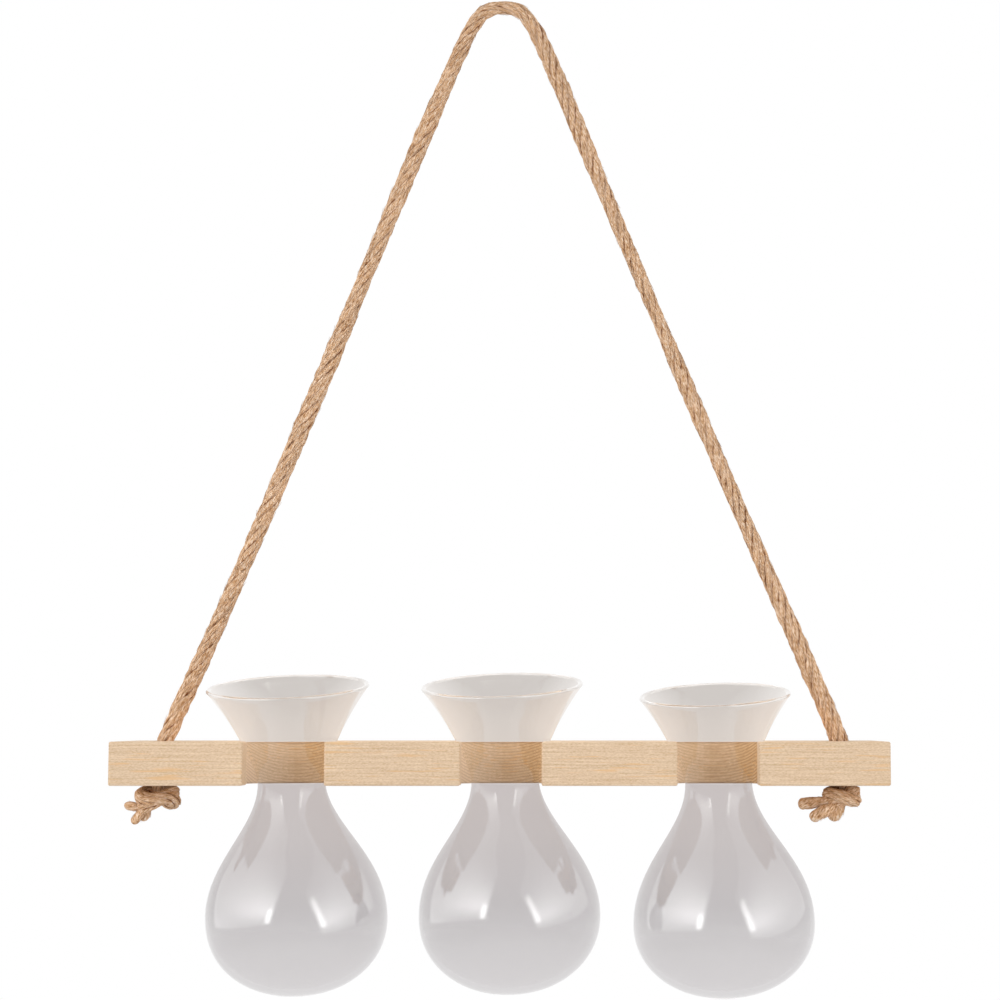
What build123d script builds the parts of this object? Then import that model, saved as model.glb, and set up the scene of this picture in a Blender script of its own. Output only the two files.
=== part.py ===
"""Hanging propagation vase: a wooden bar with keyhole notches carries glass bulb bottles on one knotted rope."""
import os
from math import radians, tan

from build123d import *

# The origin is the hanging point, on the inner side of the rope's top bend.
# X runs along the bar, Y from its front to its back, and Z points up. Lengths are millimetres, angles degrees.

# Wooden bar
bar_depth = 64.0
bar_thickness = 18.0
bar_edge_radius = 0.8
bar_end_length = 71.0
hang_drop = 313.5

# Keyhole notches
bulb_gap = 12.2
notch_row_shift = 0.5
notch_lip_length = 13.3
neck_clearance = 2.6
seat_clearance = 1.4
cut_overrun = 5.0

# Rope and its stopper knots
rope_diameter = 6.6
rope_hole_clearance = 2.3
rope_hole_inset = 16.5
knot_width = 19.0
knot_height = 11.5
knot_lower_radius = 5.0
knot_upper_radius = 2.5
tail_reach = 15.0
tail_drop_angle = 38.0

# Glass bottles
bulb_diameter = 76.8
left_bulb_height = 30.3
middle_bulb_height = 31.3
right_bulb_height = 28.7
neck_diameter = 28.2
neck_height = 89.7
rim_diameter = 68.2
bottle_height = 128.7
right_rim_step = 4.6
right_height_step = 2.5
foot_diameter = 17.6
glass_wall = 2.0
foot_thickness = 3.0

# How each bottle stands in its notch
forward_lean = 9.3
left_side_lean = 1.65
middle_side_lean = 1.7
right_side_lean = 2.5
seat_setback = 1.5
left_seat_shift = -0.6
middle_seat_shift = 0.3
right_seat_shift = 0.9
left_seat_rise = -0.4
middle_seat_rise = 0.3
right_seat_rise = -1.2

# Pulls of the glass outline's curves, as shares of the spans that they cross
foot_pull_share = 0.29
belly_pull_share = 0.72
shoulder_pull_share = 0.43
neck_pull_share = 0.33
throat_pull_share = 0.14
mouth_pull_shares = (0.51, 0.31)
seat_share = 0.39

# Each arc of the rope takes this share of the shorter run beside it
rope_arc_share = 0.45

# Rope route, as x and z, from the left knot over the hanging point to the right knot
rope_route = [
    (-145.0, -331.5),
    (-145.0, -324.0),
    (-143.3, -315.9),
    (-138.2, -303.5),
    (-127.2, -279.5),
    (-105.6, -228.5),
    (-70.4, -142.5),
    (-39.0, -64.0),
    (-22.0, -22.5),
    (-12.4, -1.4),
    (-5.1, 3.3),
    (3.7, 3.3),
    (11.0, -1.4),
    (20.8, -22.5),
    (37.5, -64.0),
    (69.9, -142.5),
    (106.2, -228.5),
    (128.4, -279.5),
    (138.5, -303.5),
    (143.2, -315.9),
    (145.0, -324.0),
    (145.0, -331.5),
]

os.makedirs("parts", exist_ok=True)


def lower_outline(foot_radius, foot_level, bulb_radius, bulb_level):
    """Draw one face of the glass from the foot to the widest part of the bulb."""
    span = bulb_radius - foot_radius
    rise = bulb_level - foot_level
    return Bezier(
        (foot_radius, foot_level),
        (foot_radius + foot_pull_share * span, foot_level),
        (bulb_radius, bulb_level - belly_pull_share * rise),
        (bulb_radius, bulb_level),
    )


def shoulder_outline(bulb_radius, bulb_level, neck_radius):
    """Draw one face of the glass from the widest part of the bulb to the neck."""
    rise = neck_height - bulb_level
    return Bezier(
        (bulb_radius, bulb_level),
        (bulb_radius, bulb_level + shoulder_pull_share * rise),
        (neck_radius, neck_height - neck_pull_share * rise),
        (neck_radius, neck_height),
    )


def mouth_outline(neck_radius, rim_radius, rim_level):
    """Draw one face of the glass from the neck to the rim."""
    span = rim_radius - neck_radius
    rise = rim_level - neck_height
    across, up = mouth_pull_shares
    return Bezier(
        (neck_radius, neck_height),
        (neck_radius, neck_height + throat_pull_share * rise),
        (rim_radius - across * span, rim_level - up * rise),
        (rim_radius, rim_level),
    )


# Radii of the glass outside
bulb_radius = bulb_diameter / 2
neck_radius = neck_diameter / 2
foot_radius = foot_diameter / 2

# Seat of a bottle: the ring of its flared mouth that stands level with the bar's top
with BuildLine() as seat_guide:
    seat_curve = mouth_outline(neck_radius, rim_diameter / 2, bottle_height)
seat_point = seat_curve @ seat_share
seat_radius = seat_point.X
seat_height = seat_point.Y

# Places that follow from the sizes
bar_top = -hang_drop
bar_bottom = bar_top - bar_thickness
notch_pitch = bulb_diameter + bulb_gap
bar_length = 2 * (notch_pitch + bar_end_length)
slot_width = neck_diameter + 2 * neck_clearance
seat_hole_radius = seat_radius + seat_clearance
lip_to_hole = (seat_hole_radius**2 - (slot_width / 2) ** 2) ** 0.5
notch_depth = notch_lip_length + lip_to_hole
notch_y = -bar_depth / 2 + notch_depth
notch_centres = [(notch_row_shift + step * notch_pitch, notch_y) for step in (-1, 0, 1)]
rope_hole_radius = rope_diameter / 2 + rope_hole_clearance
rope_hole_reach = bar_length / 2 - rope_hole_inset
rope_holes = [(-rope_hole_reach, 0), (rope_hole_reach, 0)]
right_rim_diameter = rim_diameter - right_rim_step
right_bottle_height = bottle_height - right_height_step

# Bar with keyhole notches open to the front and a hole for the rope near each end
with BuildPart() as bar:
    with BuildSketch(Plane.XY.offset(bar_bottom)):
        Rectangle(bar_length, bar_depth)
        with Locations(*notch_centres):
            Circle(seat_hole_radius, mode=Mode.SUBTRACT)
            Rectangle(
                slot_width,
                notch_depth + cut_overrun,
                align=(Align.CENTER, Align.MAX),
                mode=Mode.SUBTRACT,
            )
        with Locations(*rope_holes):
            Circle(rope_hole_radius, mode=Mode.SUBTRACT)
    extrude(amount=bar_thickness)
    fillet(bar.edges().filter_by(Axis.Z).filter_by(GeomType.LINE), bar_edge_radius)
    fillet(bar.faces().sort_by(Axis.Z)[-1].edges(), bar_edge_radius)
    fillet(bar.faces().sort_by(Axis.Z)[0].edges(), bar_edge_radius)
bar.part.label = "bar"
export_step(bar.part, "parts/bar.step")

# Bottles, each leaning forward and to the left in its notch
bottles = [
    (
        "bottle_left",
        (left_seat_shift, left_seat_rise, left_side_lean),
        (left_bulb_height, rim_diameter / 2, bottle_height),
    ),
    (
        "bottle_middle",
        (middle_seat_shift, middle_seat_rise, middle_side_lean),
        (middle_bulb_height, rim_diameter / 2, bottle_height),
    ),
    (
        "bottle_right",
        (right_seat_shift, right_seat_rise, right_side_lean),
        (right_bulb_height, right_rim_diameter / 2, right_bottle_height),
    ),
]
for (label, stance, shape), (notch_x, _) in zip(bottles, notch_centres):
    seat_shift, seat_rise, side_lean = stance
    bulb_level, rim_radius, rim_level = shape
    seat_place = (notch_x + seat_shift, notch_y + seat_setback, bar_top + seat_rise)
    seat = Plane(Location(seat_place, (forward_lean, -side_lean, 0)))
    foot_centre = seat.from_local_coords((0, 0, -seat_height))
    half_section = Plane(origin=foot_centre, x_dir=seat.x_dir, z_dir=-seat.y_dir)
    with BuildPart() as bottle:
        with BuildSketch(half_section):
            with BuildLine():
                outer_foot = lower_outline(foot_radius, 0, bulb_radius, bulb_level)
                shoulder_outline(bulb_radius, bulb_level, neck_radius)
                outer_mouth = mouth_outline(neck_radius, rim_radius, rim_level)
                inner_foot = lower_outline(
                    foot_radius - glass_wall,
                    foot_thickness,
                    bulb_radius - glass_wall,
                    bulb_level,
                )
                shoulder_outline(bulb_radius - glass_wall, bulb_level, neck_radius - glass_wall)
                inner_mouth = mouth_outline(neck_radius - glass_wall, rim_radius - glass_wall, rim_level)
                rim_crown = (rim_radius - glass_wall / 2, rim_level + glass_wall / 2)
                ThreePointArc(outer_mouth @ 1, rim_crown, inner_mouth @ 1)
                Polyline(inner_foot @ 0, (0, foot_thickness), (0, 0), outer_foot @ 0)
            make_face()
        revolve(axis=Axis(foot_centre, seat.z_dir))
    bottle.part.label = label
    export_step(bottle.part, f"parts/{label}.step")

# Rope, as one tube of straight runs and tangent arcs
rope_points = [Vector(x, 0, z) for x, z in rope_route]
rope_radii = []
for before, corner, after in zip(rope_points, rope_points[1:], rope_points[2:]):
    run_in = corner - before
    run_out = after - corner
    half_turn = radians(run_in.get_angle(run_out)) / 2
    rope_radii.append(rope_arc_share * min(run_in.length, run_out.length) / tan(half_turn))
with BuildPart() as rope:
    with BuildLine() as rope_line:
        FilletPolyline(*rope_points, radius=rope_radii)
    rope_path = rope_line.wire()
    with BuildSketch(Plane(origin=rope_path @ 0, z_dir=rope_path % 0)) as rope_section:
        Circle(rope_diameter / 2)
    sweep(path=rope_path)
rope.part.label = "rope"
export_step(rope.part, "parts/rope.step")
print("rope bend radii, mm:", [round(radius, 1) for radius in rope_radii])
print("rope length, mm:", round(rope_path.length, 1))
section_volume = rope_section.sketch.area * rope_path.length
print("rope volume over section times length:", round(rope.part.volume / section_volume, 5))

# Stopper knots: a squat ball of rope under each hole, with a cut tail to the lower left
knots = [("left_knot", rope_points[0]), ("right_knot", rope_points[-1])]
for label, rope_end in knots:
    knot_section = Plane(origin=(rope_end.X, 0, bar_bottom), x_dir=(1, 0, 0), z_dir=(0, -1, 0))
    knot_middle = (rope_end.X, 0, bar_bottom - knot_height / 2)
    tail_plane = Plane(Location(knot_middle, (0, -90 - tail_drop_angle, 0)))
    with BuildPart() as knot:
        with BuildSketch(knot_section):
            with BuildLine():
                FilletPolyline(
                    (0, 0),
                    (knot_width / 2, 0),
                    (knot_width / 2, -knot_height),
                    (0, -knot_height),
                    radius=[knot_upper_radius, knot_lower_radius],
                )
                Line((0, -knot_height), (0, 0))
            make_face()
        revolve(axis=Axis((rope_end.X, 0, 0), (0, 0, 1)))
        with BuildSketch(tail_plane):
            Circle(rope_diameter / 2)
        extrude(amount=tail_reach)
    knot.part.label = label
    export_step(knot.part, f"parts/{label}.step")
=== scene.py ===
"""Looks of the hanging propagation vase: a pine bar, blown glass bottles and one twisted jute rope."""
from math import atan2, cos, pi, radians, sin

import bpy
import numpy as np
from mathutils import Matrix, Quaternion, Vector


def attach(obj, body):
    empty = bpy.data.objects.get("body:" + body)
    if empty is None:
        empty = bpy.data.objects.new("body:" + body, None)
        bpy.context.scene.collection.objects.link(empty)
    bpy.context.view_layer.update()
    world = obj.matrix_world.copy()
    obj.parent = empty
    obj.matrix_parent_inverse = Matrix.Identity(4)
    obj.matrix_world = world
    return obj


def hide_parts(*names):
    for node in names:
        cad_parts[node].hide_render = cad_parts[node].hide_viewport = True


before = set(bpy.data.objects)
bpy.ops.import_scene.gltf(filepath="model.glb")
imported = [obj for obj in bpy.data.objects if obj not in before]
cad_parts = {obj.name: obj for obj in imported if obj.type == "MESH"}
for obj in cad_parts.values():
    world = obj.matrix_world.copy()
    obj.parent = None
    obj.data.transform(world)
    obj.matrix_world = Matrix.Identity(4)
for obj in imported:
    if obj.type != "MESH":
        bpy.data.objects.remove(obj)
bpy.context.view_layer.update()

# Lengths are metres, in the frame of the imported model: X along the bar, Y to its back, Z up.
MM = 0.001

# Camera, a metre in front of the bar and a little above its top
camera_place = (0.0354, -1.032, -0.3055)
camera_pitch = 5.214
camera_lens = 87.585
camera_shift_x = -0.0861

# Rope route from the left knot over the hanging point to the right knot, as x and z
rope_route = [
    (-0.1450, -0.3315),
    (-0.1450, -0.3240),
    (-0.1433, -0.3159),
    (-0.1382, -0.3035),
    (-0.1272, -0.2795),
    (-0.1056, -0.2285),
    (-0.0704, -0.1425),
    (-0.0390, -0.0640),
    (-0.0220, -0.0225),
    (-0.0124, -0.0014),
    (-0.0051, 0.0033),
    (0.0037, 0.0033),
    (0.0110, -0.0014),
    (0.0208, -0.0225),
    (0.0375, -0.0640),
    (0.0699, -0.1425),
    (0.1062, -0.2285),
    (0.1284, -0.2795),
    (0.1385, -0.3035),
    (0.1432, -0.3159),
    (0.1450, -0.3240),
    (0.1450, -0.3315),
]

# Lay of the rope: six soft strands in a long twist round each other, each of yarns twisted the other way
lay_pitch = 42 * MM
lay_radius = 2.0 * MM
strand_count = 6
strand_radius = 1.45 * MM
strand_sides = 15
yarn_count = 5
yarn_relief = 0.04
yarn_pitch = -38 * MM
ring_step = 0.8 * MM
rope_fibre_count = 2200

# Fullness of the rope from its left end to its right one, as shares of the way and of its size
rope_fullness = [
    (0.0, 1.0),
    (0.07, 1.06),
    (0.13, 0.96),
    (0.19, 1.07),
    (0.27, 1.12),
    (0.3, 0.94),
    (0.36, 1.05),
    (0.41, 1.12),
    (0.44, 0.98),
    (0.48, 0.92),
    (0.5, 0.78),
    (0.53, 1.0),
    (0.59, 1.06),
    (0.64, 0.9),
    (0.71, 0.82),
    (0.75, 1.06),
    (0.79, 0.9),
    (0.87, 1.0),
    (0.95, 1.13),
    (1.0, 1.1),
]

# Knot routes under the bar, from the hole to where the strands part, in millimetres from the rope's end
left_knot_route = [
    (0.0, 0.0, 4.0),
    (0.2, 0.2, -1.0),
    (1.2, 1.0, -5.2),
    (4.6, 3.2, -8.2),
    (7.9, -0.8, -6.9),
    (4.6, -6.0, -5.0),
    (-2.6, -6.4, -6.6),
    (-7.4, -2.6, -5.2),
    (-6.4, 3.6, -3.6),
    (0.2, 6.2, -3.0),
    (6.0, 4.2, -3.2),
    (6.4, -2.2, -3.2),
    (1.8, -3.4, -5.6),
    (-3.4, -3.2, -8.6),
    (-6.4, -2.8, -10.6),
]
right_knot_route = [
    (0.0, 0.0, 4.0),
    (0.0, 0.2, -1.0),
    (-0.4, 1.0, -5.0),
    (1.8, 3.2, -6.8),
    (4.2, -0.8, -6.4),
    (1.6, -5.8, -6.6),
    (-3.6, -6.2, -4.6),
    (-7.6, -2.6, -4.4),
    (-7.0, 3.6, -4.0),
    (-1.6, 6.0, -3.0),
    (3.0, 4.2, -3.0),
    (3.4, -2.2, -3.0),
    (-0.4, -3.4, -5.6),
    (-4.4, -3.4, -8.0),
    (-7.0, -2.8, -9.0),
]
knot_fullness = 0.86
knot_step = 0.6 * MM
knot_fibre_count = 160
tail_step = 0.5 * MM
left_tail_size = 1.2
right_tail_size = 1.65
left_tail_ends = [
    [(-5.5, -2.2, -9.6), (-9.0, -1.2, -9.8), (-13.8, -1.0, -8.6)],
    [(-5.2, -3.4, -10.2), (-7.2, -3.6, -13.0), (-9.8, -3.4, -16.4)],
    [(-4.4, -2.0, -10.4), (-4.4, -1.2, -13.0), (-6.6, -0.4, -15.0)],
]
right_tail_ends = [
    [(-5.5, -2.2, -7.6), (-12.5, -1.6, -7.4), (-20.4, -1.2, -8.6)],
    [(-5.2, -3.6, -9.4), (-10.2, -4.0, -11.4), (-15.6, -3.8, -14.4)],
    [(-3.6, -2.8, -9.2), (-4.6, -3.0, -11.4), (-6.6, -2.8, -15.2)],
]

# Bar and its notches
bar_top = -0.3135
bar_thickness = 0.018
bar_bottom = bar_top - bar_thickness
notch_pitch = 0.089
notch_row_x = 0.0005
notch_y = -0.005542
notch_radius = 0.02126

# Glass bottles: how each one stands in its notch, the height of its bulb, and its mouth
bulb_radius = 38.4 * MM
neck_radius = 14.1 * MM
neck_height = 89.7 * MM
foot_radius = 8.8 * MM
glass_wall = 2 * MM
foot_thickness = 3 * MM
seat_height = 105.866 * MM
seat_setback = 1.5 * MM
forward_lean = 9.3
bottle_sides = 144
curve_steps = 22
bottles = [
    ("left", -1, (-0.6 * MM, -0.4 * MM, 1.65), (30.3 * MM, 34.1 * MM, 128.7 * MM)),
    ("middle", 0, (0.3 * MM, 0.3 * MM, 1.7), (31.3 * MM, 34.1 * MM, 128.7 * MM)),
    ("right", 1, (0.9 * MM, -1.2 * MM, 2.5), (28.7 * MM, 31.8 * MM, 126.2 * MM)),
]

# Pulls of the glass outline's curves, as shares of the spans that they cross
foot_pull_share = 0.29
belly_pull_share = 0.72
shoulder_pull_share = 0.43
neck_pull_share = 0.33
throat_pull_share = 0.14
mouth_pull_shares = (0.51, 0.31)

# Tint and gloss of the glass by height, from a little under the bulbs to a little over the rims
tint_low = -0.425
tint_high = -0.285
front_tints = [
    (0.0, (0.640, 0.617, 0.623)),
    (0.14, (0.605, 0.582, 0.588)),
    (0.21, (0.568, 0.545, 0.551)),
    (0.28, (0.497, 0.473, 0.478)),
    (0.5, (0.563, 0.525, 0.520)),
    (0.668, (0.577, 0.531, 0.522)),
    (0.676, (0.955, 0.935, 0.885)),
    (0.788, (0.955, 0.935, 0.885)),
    (0.798, (0.955, 0.875, 0.805)),
    (1.0, (0.955, 0.895, 0.845)),
]
# Behind, the funnel takes a much darker tint: painted shade that dims its mouth as seen through it
back_shade_tints = front_tints[:8] + [(0.798, (0.400, 0.353, 0.320)), (1.0, (0.392, 0.347, 0.315))]
outer_gloss = [(0.27, 1.0), (0.46, 0.38), (0.7, 0.35), (0.83, 0.55)]

# Studio: each softbox with its place, size, power, bright side, the ends of its bright pane, and its roll
softboxes = [
    ("left_softbox", (-0.855, -0.265, 0.05), (2.18, 1.2), 9.5, 1, (0.0, 0.4), 3),
    ("right_softbox", (0.855, -0.265, 0.05), (2.18, 1.2), 7.1, -1, (0.15, 0.85), 14),
    ("top_softbox", (0.0, -0.4, 1.1), (1.2, 0.8), 2.6, 1, (0.2, 0.5), 0),
    ("back_softbox", (0.0, 1.1, 0.9), (1.4, 0.9), 2.6, 1, (0.2, 0.5), 0),
]
lamp_target = (0, 0, -0.3)
floor_size = 6
floor_level = -0.9

# Strengths of a softbox: all over, then what its dull side, its body and its bright pane add
lamp_glow = 0.45
lamp_side_glow = 0.2
lamp_body_glow = 1.9
lamp_pane_glow = 3.0


def add_node(tree, kind, settings=(), **inputs):
    """Add a shader node, set its properties and fill or link its named inputs."""
    node = tree.nodes.new("ShaderNode" + kind)
    for name, value in dict(settings).items():
        setattr(node, name, value)
    for name, value in inputs.items():
        set_input(tree, node.inputs[name.replace("_", " ")], value)
    return node


def set_input(tree, socket, value):
    """Link a socket to another one, or give it a plain value."""
    if isinstance(value, bpy.types.NodeSocket):
        tree.links.new(value, socket)
    else:
        socket.default_value = value


def calculate(tree, operation, first, second=0.0, third=0.0, clamp=False):
    """Add one step of arithmetic and return its result."""
    node = tree.nodes.new("ShaderNodeMath")
    node.operation = operation
    node.use_clamp = clamp
    for socket, value in zip(node.inputs, (first, second, third)):
        set_input(tree, socket, value)
    return node.outputs[0]


def blend_colours(tree, factor, first, second, mode="MIX"):
    """Mix two colours by a factor and return the result."""
    node = tree.nodes.new("ShaderNodeMix")
    node.data_type = "RGBA"
    node.blend_type = mode
    for name, value in (("Factor_Float", factor), ("A_Color", first), ("B_Color", second)):
        socket = next(s for s in node.inputs if s.identifier == name)
        set_input(tree, socket, value)
    return next(s for s in node.outputs if s.identifier == "Result_Color")


def colour_ramp(tree, factor, stops):
    """Turn a value into a colour through a ramp of stops."""
    node = add_node(tree, "ValToRGB", Fac=factor)
    elements = node.color_ramp.elements
    while len(elements) < len(stops):
        elements.new(1.0)
    for element, (place, colour) in zip(elements, stops):
        element.position = place
        element.color = (*colour, 1)
    return node.outputs["Color"]


def soft_step(tree, value, none, full):
    """Rise smoothly from 0 to 1 as a value goes from one place to another."""
    node = add_node(
        tree,
        "MapRange",
        {"interpolation_type": "SMOOTHSTEP"},
        Value=value,
        From_Min=none,
        From_Max=full,
    )
    return node.outputs["Result"]


def mix_shaders(tree, factor, first, second):
    """Mix two shaders by a factor and return the result."""
    node = add_node(tree, "MixShader", Fac=factor)
    tree.links.new(first, node.inputs[1])
    tree.links.new(second, node.inputs[2])
    return node.outputs["Shader"]


def stretched_noise(tree, vector, stretch, detail=3.0, roughness=0.5):
    """Add noise whose grains are stretched along the axes of a vector."""
    mapping = add_node(tree, "Mapping", Vector=vector, Scale=stretch)
    noise = add_node(
        tree,
        "TexNoise",
        Vector=mapping.outputs["Vector"],
        Scale=1.0,
        Detail=detail,
        Roughness=roughness,
    )
    return noise.outputs["Fac"]


def start_material(name):
    """Make a material and return it with its node tree and its main shader."""
    material = bpy.data.materials.new(name)
    material.use_nodes = True
    tree = material.node_tree
    return material, tree, tree.nodes["Principled BSDF"]


def tone_drift_group():
    """Build the slow drift of tone that wood and jute share."""
    group = bpy.data.node_groups.new("tone_drift", "ShaderNodeTree")
    group.interface.new_socket("Vector", in_out="INPUT", socket_type="NodeSocketVector")
    group.interface.new_socket("Scale", in_out="INPUT", socket_type="NodeSocketFloat")
    group.interface.new_socket("Colour", in_out="INPUT", socket_type="NodeSocketColor")
    group.interface.new_socket("Drift", in_out="INPUT", socket_type="NodeSocketFloat")
    group.interface.new_socket("Colour", in_out="OUTPUT", socket_type="NodeSocketColor")
    entry = group.nodes.new("NodeGroupInput")
    leave = group.nodes.new("NodeGroupOutput")
    noise = add_node(
        group,
        "TexNoise",
        Vector=entry.outputs["Vector"],
        Scale=entry.outputs["Scale"],
        Detail=2.0,
    )
    centred = calculate(group, "SUBTRACT", noise.outputs["Fac"], 0.5)
    gain = calculate(group, "MULTIPLY_ADD", centred, entry.outputs["Drift"], 1.0)
    grey = add_node(group, "CombineColor", Red=gain, Green=gain, Blue=gain)
    toned = blend_colours(group, 1.0, entry.outputs["Colour"], grey.outputs["Color"], "MULTIPLY")
    group.links.new(toned, leave.inputs["Colour"])
    return group


def drifted(tree, group, vector, scale, colour, drift):
    """Place the shared drift of tone in a material."""
    node = tree.nodes.new("ShaderNodeGroup")
    node.node_tree = group
    for name, value in (("Vector", vector), ("Scale", scale), ("Colour", colour), ("Drift", drift)):
        set_input(tree, node.inputs[name], value)
    return node.outputs["Colour"]


def pine_material(group):
    """Pale sanded pine with its grain along the bar, clear year rings on the sawn notch walls, and painted
    shade and light on those walls.
    """
    material, tree, surface = start_material("sanded_pine")
    place = add_node(tree, "TexCoord").outputs["Object"]
    axes = add_node(tree, "SeparateXYZ", Vector=place)

    # Year rings are slanting sheets along the bar, a little wavy
    wave = stretched_noise(tree, place, (9, 60, 60), detail=2.0)
    slant = calculate(tree, "MULTIPLY_ADD", axes.outputs["Y"], 0.55, axes.outputs["Z"])
    shifted = calculate(tree, "MULTIPLY_ADD", wave, 3.2 * MM, slant)
    turns = calculate(tree, "MULTIPLY", shifted, 2 * pi / (1.3 * MM))
    ring = calculate(tree, "MULTIPLY_ADD", calculate(tree, "SINE", turns), 0.5, 0.5)
    late_wood = calculate(tree, "POWER", ring, 3.0)

    # The walls of the notch holes are sawn across the grain
    row_x = calculate(tree, "SUBTRACT", axes.outputs["X"], notch_row_x)
    near_x = calculate(tree, "WRAP", row_x, notch_pitch / 2, -notch_pitch / 2)
    near_y = calculate(tree, "SUBTRACT", axes.outputs["Y"], notch_y)
    across = add_node(tree, "CombineXYZ", X=near_x, Y=near_y)
    reach = add_node(tree, "VectorMath", {"operation": "LENGTH"}, Vector=across.outputs["Vector"])
    in_hole = calculate(tree, "LESS_THAN", reach.outputs["Value"], notch_radius + 0.4 * MM)
    in_row = calculate(tree, "LESS_THAN", calculate(tree, "ABSOLUTE", row_x), 1.5 * notch_pitch)
    sawn = calculate(tree, "MULTIPLY", in_hole, in_row)

    # Colour: a cream ground with fine pores and grain lines, and short orange streaks
    pores = stretched_noise(tree, place, (900, 2600, 2600), detail=3.0, roughness=0.65)
    lines = stretched_noise(tree, place, (34, 1500, 1500), detail=3.0, roughness=0.6)
    mottle = calculate(tree, "MULTIPLY_ADD", pores, 0.55, calculate(tree, "MULTIPLY", lines, 0.45))
    ground = colour_ramp(
        tree,
        mottle,
        [(0.35, (0.590, 0.395, 0.225)), (0.5, (0.735, 0.545, 0.370)), (0.65, (0.870, 0.685, 0.505))],
    )
    streaks = stretched_noise(tree, place, (62, 1150, 1150), detail=2.0)
    patches = stretched_noise(tree, place, (18, 90, 90), detail=1.0)
    streak_lack = calculate(tree, "SUBTRACT", streaks, 0.78)
    streak_place = calculate(tree, "MULTIPLY_ADD", patches, 0.4, streak_lack)
    streak_share = calculate(tree, "MULTIPLY", streak_place, 7.0, clamp=True)
    streak_depth = calculate(tree, "MULTIPLY", streak_share, 0.8)
    warmed = blend_colours(tree, streak_depth, ground, (0.780, 0.500, 0.255, 1))

    # The rings show best on end grain and sawn walls. These walls are darker, partly from the deeper tone
    # of sawn end grain and partly from painted shade in the notch. Walls facing along +X get painted light
    # and are paler instead.
    facing = add_node(tree, "SeparateXYZ", Vector=add_node(tree, "NewGeometry").outputs["True Normal"])
    end_grain = calculate(tree, "MULTIPLY", facing.outputs["X"], facing.outputs["X"])
    end_sharpness = calculate(tree, "MULTIPLY_ADD", end_grain, 0.55, 0.05)
    sharpness = calculate(tree, "MULTIPLY_ADD", sawn, 0.3, end_sharpness)
    ring_share = calculate(tree, "MULTIPLY", late_wood, sharpness)
    ringed = blend_colours(tree, ring_share, warmed, (0.36, 0.19, 0.085, 1))
    # Painted shade: sawn walls that don't face along +X are darkened, partly as end-grain tone
    end_grain_and_shade_share = calculate(tree, "MULTIPLY_ADD", facing.outputs["X"], -0.85, 1.0, clamp=True)
    sawn_end_grain_and_shade = calculate(tree, "MULTIPLY", sawn, end_grain_and_shade_share)
    end_grain_toned_and_shaded = blend_colours(tree, sawn_end_grain_and_shade, ringed, (0.88, 0.79, 0.66, 1), "MULTIPLY")
    # Painted light: sawn walls facing along +X are made paler, as if lit from the right
    painted_light_share = calculate(tree, "MULTIPLY", facing.outputs["X"], 0.45, clamp=True)
    painted_wall_light = calculate(tree, "MULTIPLY", sawn, painted_light_share)
    wall_light_painted = blend_colours(tree, painted_wall_light, end_grain_toned_and_shaded, (0.930, 0.760, 0.600, 1))
    toned = drifted(tree, group, place, 14.0, wall_light_painted, 0.12)
    set_input(tree, surface.inputs["Base Color"], toned)
    rough = calculate(tree, "MULTIPLY_ADD", mottle, 0.2, 0.5)
    set_input(tree, surface.inputs["Roughness"], rough)
    surface.inputs["Specular IOR Level"].default_value = 0.3
    relief = calculate(tree, "MULTIPLY_ADD", ring_share, -0.6, mottle)
    bump = add_node(tree, "Bump", Strength=0.18, Distance=0.12 * MM, Height=relief)
    set_input(tree, surface.inputs["Normal"], bump.outputs["Normal"])
    return material


def jute_material(group):
    """Straw-brown jute with streaks along its twisted yarns, painted shade as short dark slits between the
    strands, and painted light in the rest of the creases.
    """
    material, tree, surface = start_material("twisted_jute")
    along = add_node(tree, "Attribute", {"attribute_name": "fibre"}).outputs["Vector"]
    crease = add_node(tree, "Attribute", {"attribute_name": "crease"}).outputs["Fac"]
    fine = stretched_noise(tree, along, (5.2, 5.2, 0.42), detail=3.0, roughness=0.6)
    flecks = stretched_noise(tree, along, (3.0, 3.0, 0.7), detail=2.0, roughness=0.6)
    fibres = calculate(tree, "MULTIPLY_ADD", fine, 0.6, calculate(tree, "MULTIPLY", flecks, 0.4))
    colour = colour_ramp(
        tree,
        fibres,
        [
            (0.37, (0.270, 0.112, 0.040)),
            (0.45, (0.600, 0.340, 0.172)),
            (0.53, (0.765, 0.515, 0.330)),
            (0.63, (0.970, 0.800, 0.650)),
        ],
    )

    # The creases between strands get painted shade as short dark slits in places, and painted light that
    # lightens them elsewhere
    # Painted shade: dark slits in the creases where this noise is high
    slit_shade_noise = stretched_noise(tree, along, (0.3, 0.3, 0.13), detail=1.0)
    slit_shade_share = calculate(tree, "MULTIPLY", calculate(tree, "SUBTRACT", slit_shade_noise, 0.47), 9.0, clamp=True)
    slit_shade = calculate(tree, "MULTIPLY", crease, slit_shade_share)
    # Painted light: the rest of each crease is lightened to cancel the shade that falls there
    crease_light_share = calculate(tree, "MULTIPLY", calculate(tree, "SUBTRACT", crease, slit_shade), 0.35)
    crease_light_painted = blend_colours(tree, crease_light_share, colour, (0.950, 0.760, 0.590, 1))
    shaded = blend_colours(tree, slit_shade, crease_light_painted, (0.180, 0.050, 0.010, 1))

    toned = drifted(tree, group, along, 0.09, shaded, 0.4)
    set_input(tree, surface.inputs["Base Color"], toned)
    surface.inputs["Roughness"].default_value = 0.9
    surface.inputs["Specular IOR Level"].default_value = 0.05
    bump = add_node(tree, "Bump", Strength=0.9, Distance=0.4 * MM, Height=fibres)
    set_input(tree, surface.inputs["Normal"], bump.outputs["Normal"])
    return material


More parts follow.
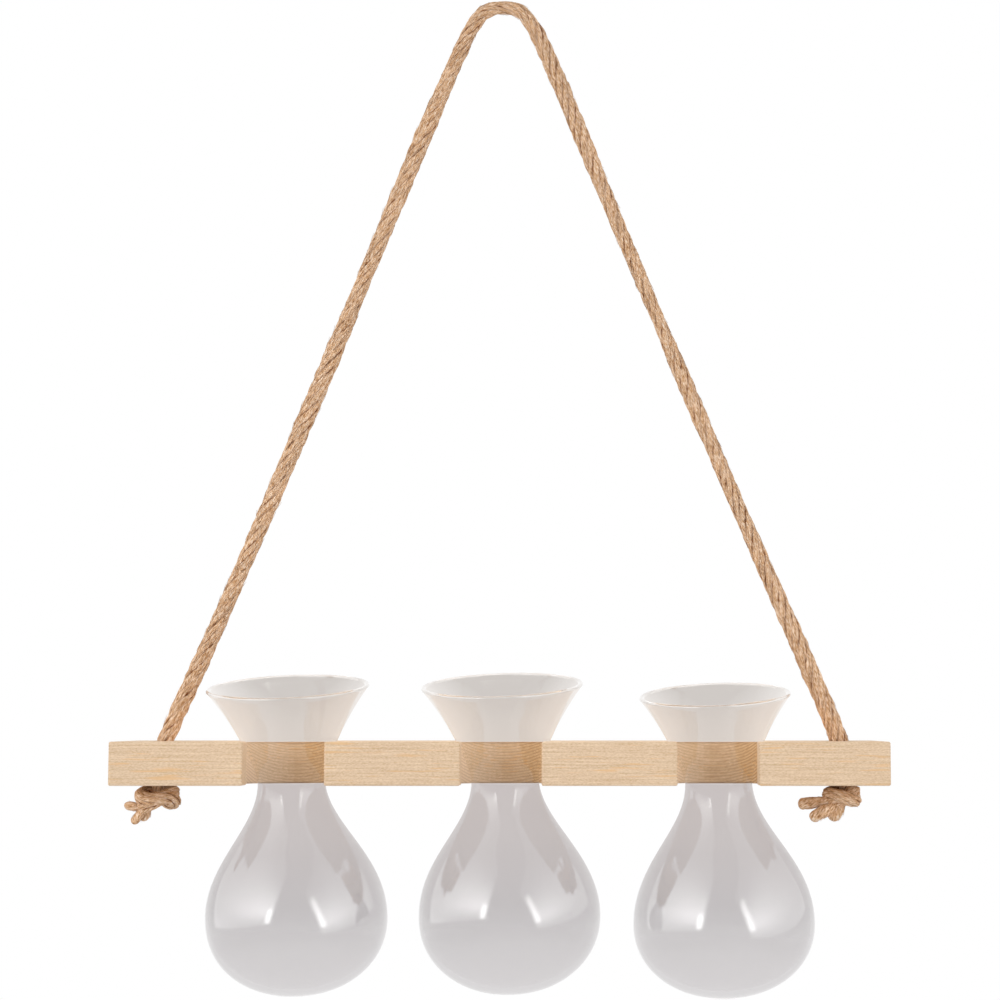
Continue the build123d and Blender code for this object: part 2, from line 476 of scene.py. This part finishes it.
def clear_glass(name, index):
    """Start a clear glass that lets the lamps through and doesn't show in the gloss of other bottles."""
    material, tree, surface = start_material(name)
    surface.inputs["Transmission Weight"].default_value = 1.0
    surface.inputs["IOR"].default_value = index
    surface.inputs["Coat Weight"].default_value = 1.0
    surface.inputs["Coat Roughness"].default_value = 0.11
    surface.inputs["Coat IOR"].default_value = 2.1
    surface.inputs["Roughness"].default_value = 0.0
    place = add_node(tree, "TexCoord").outputs["Object"]
    ray = add_node(tree, "LightPath")
    mirrored = calculate(
        tree,
        "SUBTRACT",
        ray.outputs["Is Glossy Ray"],
        ray.outputs["Is Transmission Ray"],
        clamp=True,
    )
    clear = add_node(tree, "BsdfTransparent", Color=(1, 1, 1, 1))
    shadow = add_node(tree, "BsdfTransparent", Color=(0.93, 0.92, 0.92, 1))
    unmirrored = mix_shaders(tree, mirrored, surface.outputs["BSDF"], clear.outputs["BSDF"])
    both = mix_shaders(tree, ray.outputs["Is Shadow Ray"], unmirrored, shadow.outputs["BSDF"])
    tree.links.new(both, tree.nodes["Material Output"].inputs["Surface"])
    return material, tree, surface, place


def outer_glass_material():
    """Outside of the bottles: a grey tint, clearest at the neck, with faint smudges, outward gloss and
    painted shade on the back of the funnel.
    """
    material, tree, surface, place = clear_glass("blown_glass", 1.015)
    axes = add_node(tree, "SeparateXYZ", Vector=place)
    level = add_node(tree, "MapRange", Value=axes.outputs["Z"], From_Min=tint_low, From_Max=tint_high)
    front = colour_ramp(tree, level.outputs["Result"], front_tints)
    back = colour_ramp(tree, level.outputs["Result"], back_shade_tints)
    gloss_stops = [(stop, (weight, weight, weight)) for stop, weight in outer_gloss]
    gloss = colour_ramp(tree, level.outputs["Result"], gloss_stops)
    behind_wall = add_node(tree, "NewGeometry").outputs["Backfacing"]
    outside = calculate(tree, "SUBTRACT", 1.0, behind_wall)
    set_input(tree, surface.inputs["Coat Weight"], calculate(tree, "MULTIPLY", gloss, outside))
    smudge = stretched_noise(tree, place, (60, 60, 60), detail=3.0)
    set_input(tree, surface.inputs["Roughness"], calculate(tree, "MULTIPLY", smudge, 0.04))
    # Painted shade: toward the back the tint turns to the darker back tints of the funnel
    behind = add_node(tree, "MapRange", Value=axes.outputs["Y"], From_Min=-12 * MM, From_Max=20 * MM)
    tint = blend_colours(tree, behind.outputs["Result"], front, back)
    set_input(tree, surface.inputs["Base Color"], tint)
    return material


def inner_glass_material():
    """Inside of the bottles: clear, with the faintest cloud, and a little gloss in the mouth."""
    material, tree, surface, place = clear_glass("blown_glass_inside", 1.002)
    cloud = stretched_noise(tree, place, (30, 30, 30), detail=2.0)
    tint = colour_ramp(tree, cloud, [(0.3, (0.975, 0.97, 0.97)), (0.7, (0.995, 0.99, 0.99))])
    set_input(tree, surface.inputs["Base Color"], tint)
    height = add_node(tree, "SeparateXYZ", Vector=place).outputs["Z"]
    gloss = add_node(
        tree,
        "MapRange",
        Value=height,
        From_Min=bar_top,
        From_Max=bar_top + 8 * MM,
        To_Max=0.12,
    )
    set_input(tree, surface.inputs["Coat Weight"], gloss.outputs["Result"])
    return material


def rim_glass_material():
    """Rounded rim of the bottles, where the glass is thickest and bends the light."""
    material, tree, surface, place = clear_glass("fired_rim_glass", 1.15)
    cloud = stretched_noise(tree, place, (90, 90, 90), detail=2.0)
    tint = colour_ramp(tree, cloud, [(0.3, (0.80, 0.75, 0.70)), (0.7, (0.90, 0.87, 0.84))])
    set_input(tree, surface.inputs["Base Color"], tint)
    return material


def floor_material():
    """Matt off-white floor that turns plain white with distance, for the camera and in the glass."""
    material, tree, surface = start_material("studio_floor")
    place = add_node(tree, "TexCoord").outputs["Object"]
    speckle = stretched_noise(tree, place, (3, 3, 3), detail=3.0)
    pale = colour_ramp(tree, speckle, [(0.3, (0.88, 0.88, 0.88)), (0.7, (0.92, 0.92, 0.92))])
    set_input(tree, surface.inputs["Base Color"], pale)
    surface.inputs["Roughness"].default_value = 0.9
    ray = add_node(tree, "LightPath")
    mirrored = calculate(tree, "ADD", ray.outputs["Is Glossy Ray"], ray.outputs["Is Transmission Ray"])
    looked_at = calculate(tree, "ADD", ray.outputs["Is Camera Ray"], mirrored, clamp=True)
    reach = add_node(tree, "VectorMath", {"operation": "LENGTH"}, Vector=place)
    far = soft_step(tree, reach.outputs["Value"], 0.6, 2.8)
    seen = calculate(tree, "MULTIPLY", looked_at, calculate(tree, "MULTIPLY_ADD", far, 0.28, 0.72))
    white = add_node(tree, "Emission", Color=(1, 1, 1, 1), Strength=1.0)
    both = mix_shaders(tree, seen, surface.outputs["BSDF"], white.outputs["Emission"])
    tree.links.new(both, tree.nodes["Material Output"].inputs["Surface"])
    return material


def nurbs_line(name, points):
    """Read the smooth line that a NURBS spline draws through its control points."""
    curve = bpy.data.curves.new(name, "CURVE")
    curve.dimensions = "3D"
    curve.resolution_u = 24
    spline = curve.splines.new("NURBS")
    spline.points.add(len(points) - 1)
    for control, place in zip(spline.points, points):
        control.co = (*place, 1)
    spline.order_u = 3
    spline.use_endpoint_u = True
    holder = bpy.data.objects.new(name, curve)
    mesh = bpy.data.meshes.new_from_object(holder)
    line = np.array([vertex.co for vertex in mesh.vertices])
    bpy.data.objects.remove(holder)
    bpy.data.curves.remove(curve)
    bpy.data.meshes.remove(mesh)
    return line


def even_steps(line, step):
    """Walk a line in equal steps, and give the points and how far along each one is."""
    runs = np.linalg.norm(np.diff(line, axis=0), axis=1)
    reach = np.concatenate([[0], np.cumsum(runs)])
    places = np.linspace(0, reach[-1], max(2, round(reach[-1] / step) + 1))
    walked = np.stack([np.interp(places, reach, line[:, axis]) for axis in range(3)], axis=1)
    return walked, places


def unit(vectors):
    """Scale each vector to length one."""
    return vectors / np.linalg.norm(vectors, axis=1, keepdims=True)


def moving_frames(line, first_side):
    """Carry a side direction along a line without twist, and give tangents and both cross directions."""
    tangents = unit(np.gradient(line, axis=0))
    sides = np.zeros_like(line)
    side = np.array(first_side, float)
    for index, tangent in enumerate(tangents):
        side = side - tangent * side.dot(tangent)
        side = side / np.linalg.norm(side)
        sides[index] = side
    return tangents, sides, np.cross(tangents, sides)


def lay_strands(line, places, size):
    """Twist the strands round a line, and give each one's own line, direction and two cross directions."""
    _, first, second = moving_frames(line, (0, 1, 0))
    reach = lay_radius * size[:, None]
    strands = []
    for strand in range(strand_count):
        phase = 2 * pi * (places / lay_pitch + strand / strand_count)[:, None]
        centre = line + reach * (first * np.cos(phase) + second * np.sin(phase))
        strands.append((centre, *moving_frames(centre, (0, 1, 0.1))))
    return strands


def spokes(first, second, sides):
    """Give the outward directions round a tube, from its two cross directions."""
    angles = np.arange(sides) * 2 * pi / sides
    across = first[:, None] * np.cos(angles)[None, :, None]
    return across + second[:, None] * np.sin(angles)[None, :, None]


def strand_rings(strand, places, size, chance):
    """Give the points round a strand: an uneven ring with the ridges of its twisted yarns."""
    centre, _, first, second = strand
    angles = np.arange(strand_sides) * 2 * pi / strand_sides
    twist = 2 * pi * places[:, None] / yarn_pitch
    ridges = 1 + yarn_relief * np.cos(yarn_count * (angles[None] - twist))
    swell = slow_shares(len(centre), chance, 0.14, 9) * slow_shares(len(centre), chance, 0.32, 25) * size
    radii = (strand_radius * swell[:, None] * ridges)[..., None]
    return centre[:, None] + radii * spokes(first, second, strand_sides)


def crease_shares(rings, others, size):
    """Tell how near each point of a strand is to the others: 1 in a crease between them, 0 in the open."""
    count = len(rings)
    nearest = np.full(rings.shape[:2], 9.0)
    for centre, _, _, _ in others:
        for shift in range(-3, 4):
            beside = np.clip(np.arange(count) + shift, 0, count - 1)
            gap = np.linalg.norm(rings - centre[beside][:, None], axis=2)
            nearest = np.minimum(nearest, gap / (strand_radius * size[:, None]))
    return np.clip(1.9 - (nearest - 1) / 0.16, 0, 1)


class TubeMesh:
    """Gathers tubes into one mesh, with the run of their fibres and their creases kept for the material."""

    def __init__(self):
        self.places = []
        self.faces = []
        self.fibres = []
        self.creases = []
        self.count = 0

    def add(self, rings, creases=None):
        """Add one closed tube, given as rings of points."""
        count, sides, _ = rings.shape
        middle = rings.mean(axis=1)
        along = np.concatenate([[0], np.cumsum(np.linalg.norm(np.diff(middle, axis=0), axis=1))])
        angles = np.arange(sides)[None] * 2 * pi / sides - 2 * pi * along[:, None] / yarn_pitch
        fibres = np.empty_like(rings)
        fibres[..., 0] = np.cos(angles) + 5.3 * len(self.places)
        fibres[..., 1] = np.sin(angles)
        fibres[..., 2] = along[:, None] / MM
        for ring in range(count - 1):
            near = self.count + ring * sides
            for step in range(sides):
                after = (step + 1) % sides
                self.faces.append((near + step, near + after, near + sides + after, near + sides + step))
        last = self.count + (count - 1) * sides
        self.faces.append(tuple(range(self.count + sides - 1, self.count - 1, -1)))
        self.faces.append(tuple(range(last, last + sides)))
        self.places.append(rings.reshape(-1, 3))
        self.fibres.append(fibres.reshape(-1, 3))
        self.creases.append(np.zeros(count * sides) if creases is None else creases.ravel())
        self.count += count * sides

    def make(self, name, material):
        """Turn the gathered tubes into an object."""
        mesh = bpy.data.meshes.new(name)
        mesh.from_pydata(np.concatenate(self.places).tolist(), [], self.faces)
        fibre = mesh.attributes.new("fibre", "FLOAT_VECTOR", "POINT")
        fibre.data.foreach_set("vector", np.concatenate(self.fibres).astype(np.float32).ravel())
        crease = mesh.attributes.new("crease", "FLOAT", "POINT")
        crease.data.foreach_set("value", np.concatenate(self.creases).astype(np.float32))
        mesh.shade_smooth()
        mesh.materials.append(material)
        piece = bpy.data.objects.new(name, mesh)
        bpy.context.collection.objects.link(piece)
        return piece


def slow_shares(count, chance, amount, spread):
    """Give shares near one that change slowly along a strand."""
    rough = chance.normal(0, 1, count + 2 * spread)
    smooth = np.convolve(rough, np.ones(spread) / spread, mode="same")[spread : spread + count]
    return 1 + amount * smooth


def closed_end(rings):
    """Draw a strand's rings in at its cut end."""
    middle = rings.mean(axis=1, keepdims=True)
    closing = np.ones(len(rings))
    closing[-4:] = (0.97, 0.88, 0.7, 0.35)
    return middle + (rings - middle) * closing[:, None, None]


def lay_rope(tubes, line, places, size, chance):
    """Add the twisted strands of a rope along a line, and return their rings."""
    strands = lay_strands(line, places, size)
    all_rings = []
    for index, strand in enumerate(strands):
        rings = strand_rings(strand, places, size, chance)
        others = [other for place, other in enumerate(strands) if place != index]
        tubes.add(rings, crease_shares(rings, others, size))
        all_rings.append(rings)
    return all_rings


def round_tube(line, radii, sides):
    """Give the rings of a thin round tube along a line."""
    _, first, second = moving_frames(line, (0, 1, 0.1))
    return line[:, None] + radii[:, None, None] * spokes(first, second, sides)


def loose_fibres(tubes, all_rings, count, chance):
    """Add fibres that lie on the strands, with ends that stand off a little."""
    for _ in range(count):
        rings = all_rings[chance.integers(len(all_rings))]
        run = chance.integers(7, 15)
        start = chance.integers(1, len(rings) - run - 1)
        steps = np.arange(0, run, 2)
        side = chance.uniform(0, strand_sides) + chance.normal(0, 0.15) * steps
        picks = side.astype(int) % strand_sides
        spots = rings[start + steps, picks]
        outward = unit(spots - rings[start + steps].mean(axis=1))
        tip = np.linspace(-0.4, 1, len(steps)) ** 2
        lift = (0.05 + chance.uniform(0, 0.55) * tip) * MM
        thin = chance.uniform(0.07, 0.13) * np.linspace(1, 0.6, len(steps)) * MM
        tubes.add(round_tube(spots + outward * lift[:, None], thin, 3))


def make_rope(jute):
    """Make the rope that carries the bar."""
    chance = np.random.default_rng(11)
    line = nurbs_line("rope_route", [(x, 0, z) for x, z in rope_route])
    walked, places = even_steps(line, ring_step)
    size = np.interp(places / places[-1], *zip(*rope_fullness))
    tubes = TubeMesh()
    all_rings = lay_rope(tubes, walked, places, size, chance)
    rope = tubes.make("jute_rope", jute)
    hairs = TubeMesh()
    loose_fibres(hairs, all_rings, rope_fibre_count, chance)
    fuzz = hairs.make("rope_fuzz", jute)
    return rope, fuzz, walked


def make_knot(name, end_x, knot_route, tail_ends, tail_size, jute, seed):
    """Make one stopper knot: rope wound round itself under the bar, with its strands parted at the end."""
    chance = np.random.default_rng(seed)
    origin = np.array((end_x, 0, bar_bottom))
    route = [origin + np.array(point) * MM for point in knot_route]
    line, places = even_steps(nurbs_line(name + "_route", route), knot_step)
    tubes = TubeMesh()
    all_rings = lay_rope(tubes, line, places, np.full(len(line), knot_fullness), chance)
    for ends in tail_ends:
        points = [line[-8]] + [origin + np.array(point) * MM for point in ends]
        centre, along = even_steps(nurbs_line(name + "_tail", points), tail_step)
        strand = (centre, *moving_frames(centre, (0, 1, 0.2)))
        rings = closed_end(strand_rings(strand, along, np.full(len(along), tail_size), chance))
        tubes.add(rings)
        all_rings.append(rings)
    loose_fibres(tubes, all_rings, knot_fibre_count, chance)
    return tubes.make(name, jute)


def bezier(start, pull_out, pull_in, end):
    """Points of one curve of the glass outline, without its first point."""
    points = []
    for step in range(1, curve_steps + 1):
        t = step / curve_steps
        weights = ((1 - t) ** 3, 3 * (1 - t) ** 2 * t, 3 * (1 - t) * t**2, t**3)
        corners = (start, pull_out, pull_in, end)
        points.append(tuple(sum(w * c[axis] for w, c in zip(weights, corners)) for axis in (0, 1)))
    return points


def glass_face(foot, foot_level, bulb, bulb_level, neck, rim, rim_level):
    """One face of the glass as radius and height, from the foot to the rim."""
    rise = bulb_level - foot_level
    climb = neck_height - bulb_level
    flare = rim_level - neck_height
    span = bulb - foot
    spread = rim - neck
    across, up = mouth_pull_shares
    points = [(foot, foot_level)]
    points += bezier(
        (foot, foot_level),
        (foot + foot_pull_share * span, foot_level),
        (bulb, bulb_level - belly_pull_share * rise),
        (bulb, bulb_level),
    )
    points += bezier(
        (bulb, bulb_level),
        (bulb, bulb_level + shoulder_pull_share * climb),
        (neck, neck_height - neck_pull_share * climb),
        (neck, neck_height),
    )
    points += bezier(
        (neck, neck_height),
        (neck, neck_height + throat_pull_share * flare),
        (rim - across * spread, rim_level - up * flare),
        (rim, rim_level),
    )
    return points


def bottle_outline(bulb_level, rim, rim_level):
    """The whole wall of a bottle: up the outside, over the rounded rim and down the inside."""
    outside = glass_face(foot_radius, 0, bulb_radius, bulb_level, neck_radius, rim, rim_level)
    inside = glass_face(
        foot_radius - glass_wall,
        foot_thickness,
        bulb_radius - glass_wall,
        bulb_level,
        neck_radius - glass_wall,
        rim - glass_wall,
        rim_level,
    )
    bead = []
    for angle in (30, 60, 90, 120, 150):
        swing = radians(angle)
        bead.append((rim - glass_wall / 2 * (1 - cos(swing)), rim_level + glass_wall / 2 * sin(swing)))
    return outside + bead + inside[::-1]


def blow_bottle(name, outline):
    """Raise a disc of glass ring by ring along the outline, as a closed wall."""
    bpy.ops.object.select_all(action="DESELECT")
    bpy.ops.mesh.primitive_circle_add(vertices=bottle_sides, radius=outline[0][0], fill_type="NGON")
    bottle = bpy.context.object
    bottle.name = name
    bpy.ops.object.mode_set(mode="EDIT")
    bpy.ops.mesh.select_all(action="SELECT")
    for (radius, level), (next_radius, next_level) in zip(outline, outline[1:]):
        step = (0, 0, next_level - level)
        bpy.ops.mesh.extrude_region_move(TRANSFORM_OT_translate={"value": step})
        widen = next_radius / radius
        bpy.ops.transform.resize(value=(widen, widen, 1), center_override=(0, 0, next_level))
    bpy.ops.mesh.select_all(action="SELECT")
    bpy.ops.mesh.remove_doubles(threshold=0.00001)
    bpy.ops.mesh.normals_make_consistent(inside=False)
    bpy.ops.object.mode_set(mode="OBJECT")
    bpy.ops.object.shade_smooth()
    return bottle


def uneven(place, turn):
    """Shift a point of the glass a little in or out, as the breath and the hand leave it."""
    angle = atan2(place.y, place.x) + turn
    drift = 0.10 * sin(2 * angle + place.z / (11 * MM)) + 0.07 * sin(5 * angle - place.z / (7 * MM))
    gain = 1 + drift * MM / bulb_radius
    return Vector((place.x * gain, place.y * gain, place.z))


def glass_index(face, rim_level):
    """Pick the finish of a face of a standing bottle: 0 outside, 1 inside and 2 on the rim."""
    x, y, z = face.center
    if z > rim_level:
        return 2
    if z < foot_thickness / 2:
        return 0
    if Vector((x, y)).length < foot_radius and z < neck_height / 2:
        return 1
    return int(face.normal.x * x + face.normal.y * y < 0)


def make_bottle(label, step, stance, shape, glasses):
    """Make a bottle, lean it in its notch and let it ride with its own body."""
    shift, rise, side_lean = stance
    bottle = blow_bottle("glass_bottle_" + label, bottle_outline(*shape))
    for vertex in bottle.data.vertices:
        vertex.co = uneven(vertex.co, 1.7 * step)
    for glass in glasses:
        bottle.data.materials.append(glass)
    for face in bottle.data.polygons:
        face.material_index = glass_index(face, shape[2])
    seat = (notch_row_x + step * notch_pitch + shift, notch_y + seat_setback, bar_top + rise)
    lean = Matrix.Rotation(radians(forward_lean), 4, "X") @ Matrix.Rotation(radians(-side_lean), 4, "Y")
    bottle.matrix_world = Matrix.Translation(seat) @ lean @ Matrix.Translation((0, 0, -seat_height))
    bpy.ops.object.transform_apply(location=True, rotation=True, scale=True)
    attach(bottle, label + "_bottle")
    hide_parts("bottle_" + label)


def set_camera():
    """Set up the camera at the photograph's place."""
    camera = bpy.data.objects.new("camera", bpy.data.cameras.new("camera"))
    camera.data.lens = camera_lens
    camera.data.sensor_width = 36
    camera.data.shift_x = camera_shift_x
    camera.location = camera_place
    camera.rotation_euler = (radians(90 + camera_pitch), 0, 0)
    bpy.context.collection.objects.link(camera)
    bpy.context.scene.camera = camera


def set_world():
    """Light the object softly from all round, and show white to the camera and in the glass."""
    world = bpy.data.worlds.new("studio")
    world.use_nodes = True
    bpy.context.scene.world = world
    tree = world.node_tree
    soft = tree.nodes["Background"]
    soft.inputs["Color"].default_value = (1, 1, 1, 1)
    soft.inputs["Strength"].default_value = 0.37
    white = add_node(tree, "Background", Color=(1, 1, 1, 1), Strength=1.0)
    ray = add_node(tree, "LightPath")
    seen = calculate(tree, "ADD", ray.outputs["Is Camera Ray"], ray.outputs["Is Glossy Ray"], clamp=True)
    seen = calculate(tree, "ADD", seen, ray.outputs["Is Transmission Ray"], clamp=True)
    both = mix_shaders(tree, seen, soft.outputs["Background"], white.outputs["Background"])
    tree.links.new(both, tree.nodes["World Output"].inputs["Surface"])


def add_softbox(name, place, size, power, bright_side, pane, roll):
    """Hang a rectangular studio lamp that points at the bar, with a soft body and one bright pane."""
    lamp = bpy.data.lights.new(name, "AREA")
    lamp.shape = "RECTANGLE"
    lamp.size, lamp.size_y = size
    lamp.energy = power
    lamp.use_nodes = True
    tree = lamp.node_tree
    spot = add_node(tree, "SeparateXYZ", Vector=add_node(tree, "NewGeometry").outputs["Parametric"])
    across = spot.outputs["X"]
    if bright_side < 0:
        across = calculate(tree, "SUBTRACT", 1.0, across)
    up = spot.outputs["Y"]
    low = soft_step(tree, up, 0.9, 0.25)
    foot = soft_step(tree, up, 0.0, 0.3)
    inner = soft_step(tree, across, 1.0, 0.93)
    outer = soft_step(tree, across, 0.1, 0.8)
    body_height = calculate(tree, "MULTIPLY", low, foot)
    body_width = calculate(tree, "MULTIPLY", inner, outer)
    body = calculate(tree, "MULTIPLY", body_height, body_width)
    sill = soft_step(tree, up, pane[0], pane[0] + 0.05)
    head = soft_step(tree, up, pane[1], pane[1] - 0.15)
    pane_height = calculate(tree, "MULTIPLY", sill, head)
    pane_width = calculate(tree, "MULTIPLY", inner, soft_step(tree, across, 0.84, 0.9))
    glint = calculate(tree, "MULTIPLY", pane_width, pane_height)
    dull_side = soft_step(tree, across, 0.55, 0.2)
    side_glow = calculate(tree, "MULTIPLY_ADD", dull_side, lamp_side_glow, lamp_glow)
    glow = calculate(tree, "MULTIPLY_ADD", glint, lamp_pane_glow, side_glow)
    strength = calculate(tree, "MULTIPLY_ADD", body, lamp_body_glow, glow)
    set_input(tree, tree.nodes["Emission"].inputs["Strength"], strength)
    holder = bpy.data.objects.new(name, lamp)
    holder.location = place
    aim = (Vector(lamp_target) - Vector(place)).to_track_quat("-Z", "Y")
    holder.rotation_euler = (aim @ Quaternion((0, 0, 1), radians(roll))).to_euler()
    bpy.context.collection.objects.link(holder)


def make_floor():
    """Lay a pale floor well below the hanging bar."""
    bpy.ops.object.select_all(action="DESELECT")
    bpy.ops.mesh.primitive_plane_add(size=floor_size, location=(0, 0, floor_level))
    floor = bpy.context.object
    floor.name = "studio_floor"
    floor.data.materials.append(floor_material())


bpy.context.scene.view_settings.view_transform = "Standard"
set_camera()
set_world()
drift = tone_drift_group()
jute = jute_material(drift)
rope, fuzz, rope_line = make_rope(jute)
left_form = (rope_route[0][0], left_knot_route, left_tail_ends, left_tail_size)
right_form = (rope_route[-1][0], right_knot_route, right_tail_ends, right_tail_size)
left_knot = make_knot("rope_knot_left", *left_form, jute, seed=3)
right_knot = make_knot("rope_knot_right", *right_form, jute, seed=8)
for piece, node in ((rope, "rope"), (left_knot, "left_knot"), (right_knot, "right_knot")):
    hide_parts(node)
for piece in (rope, fuzz, left_knot, right_knot):
    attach(piece, "holder")

glasses = (outer_glass_material(), inner_glass_material(), rim_glass_material())
for bottle in bottles:
    make_bottle(*bottle, glasses)

bar = bpy.data.objects["bar"]
bar.data.materials.clear()
bar.data.materials.append(pine_material(drift))

for softbox in softboxes:
    add_softbox(*softbox)
make_floor()
